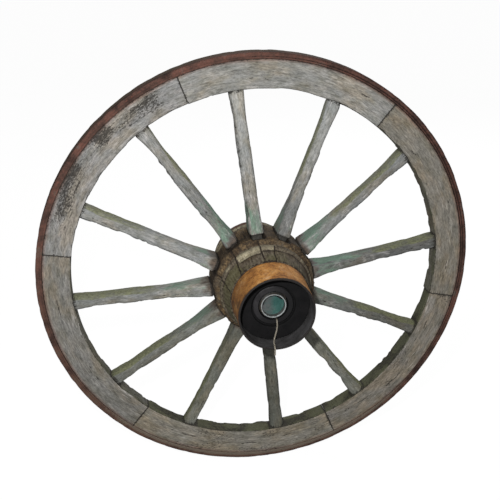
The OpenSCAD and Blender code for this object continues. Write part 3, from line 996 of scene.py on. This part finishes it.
def spoke_relief(wood, ragged, split):
    """How far the wood stands out: furrows and waves, less chips and the crack."""
    along, side, forward, seed = wood.along, wood.side, wood.forward, wood.seed
    furrows = 0.28 * MM * fractal(stretched((along, 22), (side, 210), (forward, 210)), 2, seed)
    waves = 1.0 * MM * noise(stretched((along, 16), (0.4 * side, 40), (0.4 * forward, 40)), seed + 1)
    blade = smooth(0.02, 0.10, wood.share)
    bites = smooth(0.35, 0.9, wave(along, 32, seed + 3))
    underside = smooth(-0.1, 0.7, -wood.upward)
    chips = (2.9 * smooth(0.0, 0.9, ragged) + 2.6 * bites) * MM * wood.flank * blade
    chips = chips * (0.25 + 0.75 * underside)
    return furrows + waves * blade - chips - 1.0 * MM * split - 0.4 * MM


def spoke_looks(wood, ragged, split):
    """The coat and the tone of a spoke."""
    along, side, share, seed = wood.along, wood.side, wood.share, wood.seed
    by_nave, by_rim, green = SPOKE_LOOKS[wood.index]
    below = max(0, -math.sin(wood.angle))
    wander = 0.16 * fractal(stretched((along, 18), (side, 20), (0, 1)), 2, seed + 5)
    fray = 0.035 * fractal(stretched((along, 60), (side, 110), (wood.forward, 110)), 2, seed + 6)
    top = smooth(0.28, 0.48, wood.upward + wander)
    foot = fade(0.08, 0.42, share + wander)
    hidden = fade(-0.005, 0.012, share)
    outward = smooth(0.25, 0.60, share + wander)
    arris = smooth(0.30, 0.48, abs(np.sin(wood.turn) * np.cos(wood.turn))) * fade(0.1, 0.35, share)
    crusty = fade(0.0, 0.070, share + fray) * FOOT_CRUST[wood.index]
    clean = SPOKE_WOOD * (by_nave + (by_rim - by_nave) * smooth(0, 0.8, share))[..., None]
    clean = clean * (1, 1, 1 - 0.13 * below, 1)
    tone = clean * (1 - crusty[..., None]) + CRUST_BROWN * crusty[..., None]
    tone[..., 3] = 1
    painted = green * (1 - 0.3 * arris) * (0.52 + 0.40 * top * (1 - outward) + 0.56 * foot)
    painted = painted * (1 - hidden) * (1 - crusty)
    moss = 0.10 + 0.22 * below + top * (0.26 + 0.38 * outward) * (1 - crusty)
    # Darkness: random stains, the crack and the crust, with painted shade on the flanks that do not face up
    # and on the tenon inside its mortise, and darker where the spoke meets the felloe.
    stain_and_shade = (0.36 + 0.25 * split + 0.16 * wood.flank * (1 - top) * smooth(-0.5, 0.5, ragged) + 0.7 * hidden
             + 0.22 * smooth(0.975, 0.998, share) + 0.06 * smooth(0.2, 0.9, ragged) + 0.06 * crusty)
    worn = 0.36 + 0.16 * arris + 0.20 * smooth(0.1, 0.7, -ragged) - 0.15 * top - 0.2 * crusty - 0.12 * below
    return layered(moss, stain_and_shade, painted, worn), tone


def make_spoke(index, node, material):
    wood = spoke_surface(index, node)
    ragged = fractal(stretched((wood.along, 70), (wood.side, 60), (wood.forward, 60)), 3, wood.seed + 2)
    split = spoke_split(wood)
    out = spoke_relief(wood, ragged, split)
    wood.side, wood.forward = wood.side + out * np.cos(wood.turn), wood.forward + out * np.sin(wood.turn)
    bend = wood.angle + wood.lean * np.clip(wood.share, 0, 1)
    rings = layered(wood.along * np.cos(bend) - wood.side * np.sin(bend), -wood.forward,
                    wood.along * np.sin(bend) + wood.side * np.cos(bend))
    coat, tone = spoke_looks(wood, ragged, split)
    grain = layered(wood.along + 2.3 * index, wood.side, wood.forward)
    piece = skin(f"spoke_wood_{index + 1}", rings, grain=grain, coat=coat, tone=tone)
    hand_over(piece, "wheel", material, node)


# ---------------------------------------------------------------- nave

SEAT_R = BOX_R + 0.05 * MM
NOSE_SEAT = radii("nose_hoop")[0] + 1.0 * MM
BREECH_W = 20 * MM
BREECH_SEAT = 75 * MM
RECESS_R, RECESS_D = BOX_R + 3.5 * MM, 8 * MM
# The nave's outside from its rear ring to its nose hoop, as (distance from the axle, forward): the ring with
# its groove, the drum that the spokes stand in, the slope in front of it, the bead and the chamfer
REAR_RING_BACK, REAR_RING_FRONT, REAR_GROOVE = -40 * MM, -24 * MM, -18 * MM
DRUM_BACK, DRUM_FRONT, SLOPE_FRONT = 12 * MM, 78 * MM, 88 * MM
BEAD_BACK, BEAD_TOP, CHAMFER_BACK = 87 * MM, 97 * MM, 105.5 * MM
NAVE_OUTSIDE = [
    (82 * MM, WOOD_BACK + BREECH_W), (86 * MM, REAR_RING_BACK), (88 * MM, -35 * MM), (88 * MM, -29 * MM),
    (86 * MM, REAR_RING_FRONT), (84 * MM, REAR_GROOVE), (92 * MM, -6 * MM), (NAVE_R - 2 * MM, 4 * MM),
    (NAVE_R, DRUM_BACK), (NAVE_R, DRUM_FRONT), (NAVE_R - 3 * MM, 82 * MM), (NAVE_R - 13 * MM, SLOPE_FRONT),
    (88.5 * MM, 91 * MM), (89.5 * MM, BEAD_TOP), (88.6 * MM, 101 * MM), (84 * MM, CHAMFER_BACK),
    (83.4 * MM, 108 * MM)]
MORTISE_HALF_W, MORTISE_BACK, MORTISE_FRONT = 11.5 * MM, 15 * MM, 80 * MM
# How deep each mortise is open in front of its foot; the others are packed with crust
MORTISE_DEPTHS = np.array([11, 11, 5, 3, 3, 4, 5, 4, 3, 3, 3, 2]) * MM
PALE_FROM, PALE_TO = 90 * MM, 105 * MM
# Cracks: direction in degrees, strength, slant in degrees and how far forward they start, in mm
NAVE_CRACKS = [(131, 1.9, 5, 50), (98, 1.3, -1, 84), (80, 1.1, 1, 90), (68, 0.5, 2, 90), (163, 1.3, 5, 80),
               (42, 0.6, 0, 90), (20, 0.8, -3, 90), (-15, 0.7, 2, 90), (-50, 0.9, -2, 80), (-95, 0.8, 3, 90),
               (-130, 1.0, 0, 60), (-165, 0.8, -3, 90), (112, 0.5, 2, 30)]
# Pieces of the bead between its cracks: from and to in degrees, how much is pale and how much is mossy,
# and how far the pale wood reaches onto the chamfer, in mm
BEAD_PIECES = [(98, 131, 0.50, 0.00, 8), (80, 98, 0.40, 0.00, 1), (35, 80, 0.26, 0.00, 0),
               (-40, 35, 0.16, 0.10, 0), (131, 163, 0.14, 0.12, 0), (163, 215, 0.16, 0.45, 0),
               (215, 320, 0.00, 0.30, 0)]
BEAD_PALE, BEAD_MOSSY, BEAD_OVERLAP = 2, 3, 4


def between(theta, low, high):
    """1 between two directions in degrees, falling off just inside them."""
    off = abs(np.degrees(turned_by(theta, math.radians(0.5 * (low + high)))))
    return fade(0.5 * (high - low) - 1.5, 0.5 * (high - low), off)


def by_piece(theta, column):
    """A column of BEAD_PIECES as it goes round the bead."""
    return sum(between(theta, piece[0], piece[1]) * piece[column] for piece in BEAD_PIECES)


def nave_cracks(theta, rho, forward):
    """0 to 1 in the middle of the cracks in front of and behind the spokes; stronger ones are wider."""
    total = 0 * (theta + rho)
    wander = 0.9 * MM * wave(forward, 160, 21)
    behind = fade(-22 * MM, -12 * MM, forward)
    for direction, strength, slant, first in NAVE_CRACKS:
        lean = math.radians(slant) * (forward - BEAD_BACK) / (50 * MM)
        beside = turned_by(theta, math.radians(direction) + lean) * rho + wander
        in_front = smooth(first * MM - 3 * MM, first * MM, forward) * (forward < HOOP_BACK + 2 * MM)
        front_crack = in_front * ridge(beside, 0.9 * MM * strength ** 0.7)
        beside = turned_by(theta, math.radians(direction + 17)) * rho + wander
        rear_crack = 0.6 * behind * ridge(beside, 0.9 * MM)
        total = np.maximum(total, min(strength, 1) * np.maximum(front_crack, rear_crack))
    return total


def mortises(theta, rho, forward, grow, depths):
    """depths inside the open mortises round the feet, 0 outside, on the nave's outside only."""
    total = 0 * (theta + rho)
    fray = 1.2 * MM * fractal(stretched((theta * NAVE_R, 110), (forward, 110), (0, 1)), 2, 45)
    half_w = MORTISE_HALF_W + grow
    for foot, depth in zip(SPOKE_FEET, depths):
        beside = abs(turned_by(theta, foot)) * rho
        total = np.maximum(total, depth * fade(half_w, half_w + 2.5 * MM, beside + fray))
    total = total * smooth(MORTISE_BACK - grow - MM, MORTISE_BACK - grow, forward)
    front = MORTISE_FRONT + grow
    return total * fade(front - 9 * MM, front + 4 * MM, forward + fray) * (rho > 0.8 * NAVE_R)


def nave_relief(theta, rho, forward):
    """Rough where the spokes stand, turned elsewhere, with cracks, dents in the bead and open mortises."""
    rough = fractal(around(theta, rho, forward, 75, 60), 3, 31)
    ridges = noise(around(theta, rho, forward, 170, 30), 35)
    zone = smooth(-14 * MM, -6 * MM, forward) * fade(80 * MM, BEAD_BACK, forward)
    out = (0.12 + 0.9 * zone) * MM * rough + 0.6 * MM * zone * ridges + 0.10 * MM * wave(forward, 480, 33)
    out = out - 2.0 * MM * nave_cracks(theta, rho, forward)
    out = out - 0.5 * MM * smooth(0.35, 0.9, rough) * smooth(BEAD_BACK, BEAD_TOP, forward)
    out = out - mortises(theta, rho, forward, 0, MORTISE_DEPTHS) - 0.3 * MM
    return out * (rho > 1.9 * BOX_R)


def nave_growth(theta, rho, forward, patch):
    """Strengths of moss, pale wear and crust, and extra darkness: a painted shadow line under the pale band,
    and the chamfer darker away from the left.
    """
    pieces = noise(around(theta, 1, 0, 3.1, 1), 39)
    spoke_zone = smooth(-12 * MM, -4 * MM, forward) * fade(86 * MM, 90 * MM, forward)
    pale_end = PALE_TO + by_piece(theta, BEAD_OVERLAP) * MM + 1.5 * MM * pieces
    bead = smooth(PALE_FROM - MM, PALE_FROM + MM, forward)
    bead = bead * fade(pale_end - 2 * MM, pale_end, forward)
    chamfer = smooth(pale_end - MM, pale_end + MM, forward) * (forward < HOOP_BACK)
    to_hoop = smooth(PALE_TO, HOOP_BACK, forward)
    left = between(theta, 131, 250)
    rear_ring = smooth(REAR_RING_BACK - MM, REAR_RING_BACK + 2 * MM, forward)
    rear_ring = rear_ring * fade(REAR_RING_FRONT - 3 * MM, REAR_RING_FRONT, forward)
    moss = (0.22 + 0.34 * to_hoop + 0.18 * pieces + 0.54 * left) * chamfer
    moss = moss + by_piece(theta, BEAD_MOSSY) * bead + 0.40 * rear_ring + 0.10
    pale = bead * (0.30 + by_piece(theta, BEAD_PALE) + 0.16 * patch) + 0.72 * rear_ring
    pale = pale + spoke_zone * (0.50 + 0.20 * patch) * fade(20 * MM, 55 * MM, forward)
    crust = spoke_zone * (0.85 + 0.2 * patch)
    crust = crust + (0.78 - 0.5 * to_hoop - 0.3 * pieces) * chamfer * (1 - left)
    # darker: a painted shadow line along the lower edge of the pale band, and the chamfer darker away from
    # the left.
    darker = 0.26 * ridge(forward - pale_end - 0.5 * MM, 1.5 * MM) + 0.10 * chamfer * (1 - left)
    return moss, pale, crust, darker


def nave_coat(theta, rho, forward):
    patch = fractal(around(theta, rho, forward, 40, 50), 3, 37)
    moss, pale, crust, darker = nave_growth(theta, rho, forward, patch)
    # foot_edges and pocket are painted shade: a dark rim round each foot and the dark inside of each open
    # mortise.
    foot_edges = mortises(theta, rho, forward, 3 * MM, np.ones(len(SPOKES)))
    hollow = np.clip((MORTISE_DEPTHS - 2 * MM) / (8 * MM), 0, 1)
    pocket = mortises(theta, rho, forward, 0.5 * MM, hollow)
    cracks = smooth(0.25, 0.8, nave_cracks(theta, rho, forward))
    middle_zone = smooth(20 * MM, 45 * MM, forward) * fade(74 * MM, 84 * MM, forward)
    by_hoop = ridge(forward - HOOP_BACK, 1.3 * MM) * (rho > NOSE_SEAT + 2 * MM)
    # Darkness: dark cracks and patches, painted shade in the open mortises, round the feet and in the rear
    # groove, and dark lines at the hoop and at the foot of the slope.
    stain_and_shade = (0.36 + 0.85 * pocket + 0.14 * foot_edges + 0.80 * cracks + 0.17 * middle_zone + 0.22 * by_hoop
             + 0.14 * ridge(forward - SLOPE_FRONT, 1.4 * MM) + 0.12 * smooth(0.1, 0.8, -patch) + darker
             + 0.3 * ridge(forward - REAR_GROOVE + 2 * MM, 4 * MM))
    # The recess floor inside the nose hoop goes near black: black grease, with painted shade deep in the
    # recess.
    soot_and_shade = 1.5 * smooth(0, 2 * MM, forward - HOOP_BACK) * (rho < NOSE_SEAT + MM)
    return moss, np.minimum(stain_and_shade, 1.0 + 0.22 * pocket) + soot_and_shade, pale, crust


def make_nave(material):
    coarse = 3 * MM
    corners = [(SEAT_R, WOOD_BACK, coarse), (BREECH_SEAT, WOOD_BACK, coarse),
               (BREECH_SEAT, WOOD_BACK + BREECH_W, coarse), *NAVE_OUTSIDE, (76 * MM, HOOP_BACK, coarse),
               (NOSE_SEAT, HOOP_BACK, 6 * MM), (NOSE_SEAT, WOOD_FRONT, coarse),
               (RECESS_R, WOOD_FRONT, coarse), (RECESS_R, WOOD_FRONT - RECESS_D, coarse),
               (SEAT_R, WOOD_FRONT - RECESS_D, 24 * MM)]
    piece = lathe("nave_wood", corners, nave_relief, nave_coat, spacing=1.5 * MM, steps=440,
                  softness=0.7 * MM)
    hand_over(piece, "wheel", material, "nave")


# ---------------------------------------------------------------- hoops, tube and plug

def nose_section():
    """The hoop's outer and inner distance at its lip, its outer one at its back and its inner one between."""
    rho, _, forward = polar(cad_points("nose_hoop"))
    at_lip, at_back = rho[forward > LIP - 0.5 * MM], rho[forward < HOOP_BACK + 0.5 * MM]
    return at_lip.max(), at_lip.min(), at_back.max(), rho[forward > WOOD_FRONT + 2 * MM].min()


LIP_OUT, LIP_IN, HOOP_BACK_OUT, HOOP_IN = nose_section()


def nose_relief(theta, rho, forward):
    dents = noise(around(theta, 1, forward, 3, 30), 41)
    pits = fractal(around(theta, rho, forward, 130, 130), 3, 43)
    return 0.35 * MM * dents - 0.40 * MM * smooth(0.3, 1.0, pits) + 0.12 * MM * pits - 0.25 * MM


def nose_coat(theta, rho, forward):
    """Black inside and on the lip; painted shade at the bottom; darker at the left, at the back, by the lip
    and in dark rust patches.
    """
    patch = fractal(around(theta, rho, forward, 60, 60), 3, 47)
    within = (rho < HOOP_IN + 0.6 * (LIP_OUT - HOOP_IN)) * (forward > HOOP_BACK + 5 * MM)
    # low: painted shade darkens the underside of the hoop.
    low = facing(theta, -78)
    stain_and_shade = (0.44 + 0.36 * smooth(0.55, 0.95, low) + 0.18 * smooth(0.35, 0.95, -np.cos(theta))
             + 0.30 * ridge(forward - HOOP_BACK, 2 * MM) + 0.14 * smooth(0, 1, patch)
             + 0.30 * smooth(LIP - 6 * MM, LIP - MM, forward))
    return (np.maximum(within, smooth(LIP - 1.6 * MM, LIP - 0.6 * MM, forward)), stain_and_shade,
            0.35 + 0.25 * smooth(0, 0.8, -patch), 0.90 * smooth(LIP - 3 * MM, LIP - 1.2 * MM, forward))


def make_nose_band(material):
    """The nose hoop, a little out of round at its lip, with dents and flaking rust."""
    seat = NOSE_SEAT + 0.2 * MM
    corners = [(seat, HOOP_BACK), (HOOP_BACK_OUT, HOOP_BACK), (LIP_OUT + 1.0 * MM, LIP - 2 * MM),
               (LIP_OUT, LIP), (LIP_IN, LIP), (HOOP_IN, LIP - 2 * MM), (HOOP_IN, WOOD_FRONT + 4 * MM),
               (seat, WOOD_FRONT + MM, 6 * MM)]
    piece = lathe("nose_band", corners, nose_relief, nose_coat, spacing=1.5 * MM, steps=400,
                  softness=0.8 * MM)
    hand_over(piece, "wheel", material, "nose_hoop")


def make_breech_band(material):
    inner, outer = radii("breech_hoop")
    back, front = reach("breech_hoop")
    corners = [(inner, back, 3 * MM), (outer, back), (outer, front), (inner, front, 6 * MM)]

    def relief(theta, rho, forward):
        pits = fractal(around(theta, rho, forward, 110, 110), 3, 53)
        dents = noise(around(theta, 1, forward, 4, 20), 51)
        return 0.25 * MM * dents - 0.3 * MM * smooth(0.3, 1, pits) - 0.2 * MM

    def coat(theta, rho, forward):
        ends = np.minimum(forward - back, front - forward)
        return 0.62, 0.30 + 0.35 * np.exp(-ends / (2 * MM)), 0.1, 0.2

    piece = lathe("breech_band", corners, relief, coat, spacing=1.5 * MM, steps=360, softness=0.8 * MM)
    hand_over(piece, "wheel", material, "breech_hoop")


def pipe_relief(theta, rho, forward):
    """Saw marks on the cut ends."""
    marks = noise(stretched((np.cos(theta) * rho, 260), (np.sin(theta) * rho, 40), (forward, 1)), 61)
    cut = (forward > TUBE_FRONT - 0.8 * MM) | (forward < TUBE_BACK + 0.8 * MM)
    return 0.10 * MM * marks * cut - 0.02 * MM


def pipe_coat(theta, rho, forward):
    """Bright on the cut ends, but for their outer edge."""
    bright = smooth(TUBE_FRONT - MM, TUBE_FRONT - 0.4 * MM, forward)
    bright = bright + fade(TUBE_BACK + 0.4 * MM, TUBE_BACK + MM, forward)
    return bright * fade(TUBE_R - 1.3 * MM, TUBE_R - 0.6 * MM, rho), 0, 0, 0


def make_pipe(material):
    """The axle tube, with a seat for the plug in its front end and a groove behind the collar."""
    groove_front = -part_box("rear_collar")[1].y
    groove_back = groove_front - 2 * MM
    groove_r = TUBE_R - 0.5 * MM
    plug_r = radii("tube_plug")[1] + 0.1 * MM
    step = reach("tube_plug")[1] - 4 * MM
    fine = 0.6 * MM
    corners = [(TUBE_BORE, TUBE_BACK, 0.8 * MM), (TUBE_R, TUBE_BACK, 3 * MM), (TUBE_R, groove_back, fine),
               (groove_r, groove_back, fine), (groove_r, groove_front, fine), (TUBE_R, groove_front, 4 * MM),
               (TUBE_R, TUBE_FRONT, fine), (plug_r, TUBE_FRONT, 1.5 * MM), (plug_r, step, fine),
               (TUBE_BORE, step, 8 * MM)]
    piece = lathe("axle_pipe", corners, pipe_relief, pipe_coat, spacing=2 * MM, steps=192,
                  softness=0.35 * MM)
    hand_over(piece, "axle", material, "axle_tube")


PLUG_RINGS, PLUG_SIDES = 26, 120


def make_plug(material):
    """A slightly dished, lumpy painted disc, with a painted shadow under the rim at its top, greyer at its
    left.
    """
    radius = radii("tube_plug")[1]
    back, front = reach("tube_plug")
    theta = round_turn(PLUG_SIDES)[None, :]
    face = np.linspace(1, 0.03, PLUG_RINGS)[:, None]
    edge = np.array([0, 0.5, 1.0])[:, None]
    rim = place(radius, theta, back + (front - back - 0.6 * MM) * edge)
    lumps = fractal(around(theta, face * radius, 0, 120, 1), 3, 71)
    dish = 1.4 * MM * (1 - face ** 2) + 0.3 * MM * (1 - lumps) * smooth(1.0, 0.85, face)
    rings = np.concatenate([rim, place(face * (radius - 0.5 * MM), theta, front - dish)])
    rho, theta, _ = polar(rings)
    upper = smooth(-0.1, 0.65, np.cos(theta - math.radians(105)))
    # A painted shadow of the rim darkens the disc's upper edge; the rest gets a little grime.
    dirt_and_rim_shadow = 0.95 * fade(0.12, 0.36, 1 - rho / radius) * upper + 0.3
    faded = 0.40 + 0.55 * smooth(-0.45, 0.55, -rings[..., 0] / radius)
    piece = skin("pipe_plug", rings, grain=rings, coat=layered(dirt_and_rim_shadow, faded, 0, 0))
    hand_over(piece, "axle", material, "tube_plug")


# ---------------------------------------------------------------- the scene

make_camera()
make_twine(twine_material())
bpy.context.scene.view_settings.view_transform = "Standard"
make_world(ambient=0.25, backdrop=1.0)
make_floor()
make_light("key", azimuth=-15, elevation=27.0, distance=1.5, power=20, size=0.05)
make_light("back_fill", azimuth=150, elevation=35, distance=3.0, power=34, size=1.2)

FELLOE_WOOD = weathered_wood("felloe_wood", (126, 146, 128), ((52, 54, 38), (102, 105, 80)), 0.85)
SPOKE_PAINTED = weathered_wood("spoke_wood", (106, 130, 114), ((78, 80, 58), (130, 132, 100)), 0.72)
IRON_RUST = tyre_material()

make_tyre(IRON_RUST)
for number, felloe_node in enumerate(FELLOES, start=1):
    make_felloe(number, felloe_node, FELLOE_WOOD)
for number, spoke_node in enumerate(SPOKES):
    make_spoke(number, spoke_node, SPOKE_PAINTED)
make_nave(nave_material())
make_nose_band(nose_material())
make_breech_band(IRON_RUST)
make_pipe(pipe_material())
make_plug(plug_material())

dress("axle_box", plain_material("box_iron", (40, 38, 40), (58, 56, 58), 0.6, 0.2, soot_and_shade=0.9))
dress("retaining_ring", plain_material("ring_steel", (34, 33, 34), (52, 50, 50), 0.6, 0.3, soot_and_shade=0.9))
dress("rear_collar", plain_material("collar_steel", (52, 48, 46), (84, 76, 70), 0.6, 0.4))
dress("set_screw", plain_material("screw_steel", (62, 62, 64), (96, 94, 92), 0.45, 0.6))
RAW_OAK = plain_material("raw_oak", (112, 88, 60), (140, 112, 78), 0.9, 0.0, specular=0.1)
dress("felloe_dowels", RAW_OAK)
dress("tongue_wedges", RAW_OAK)
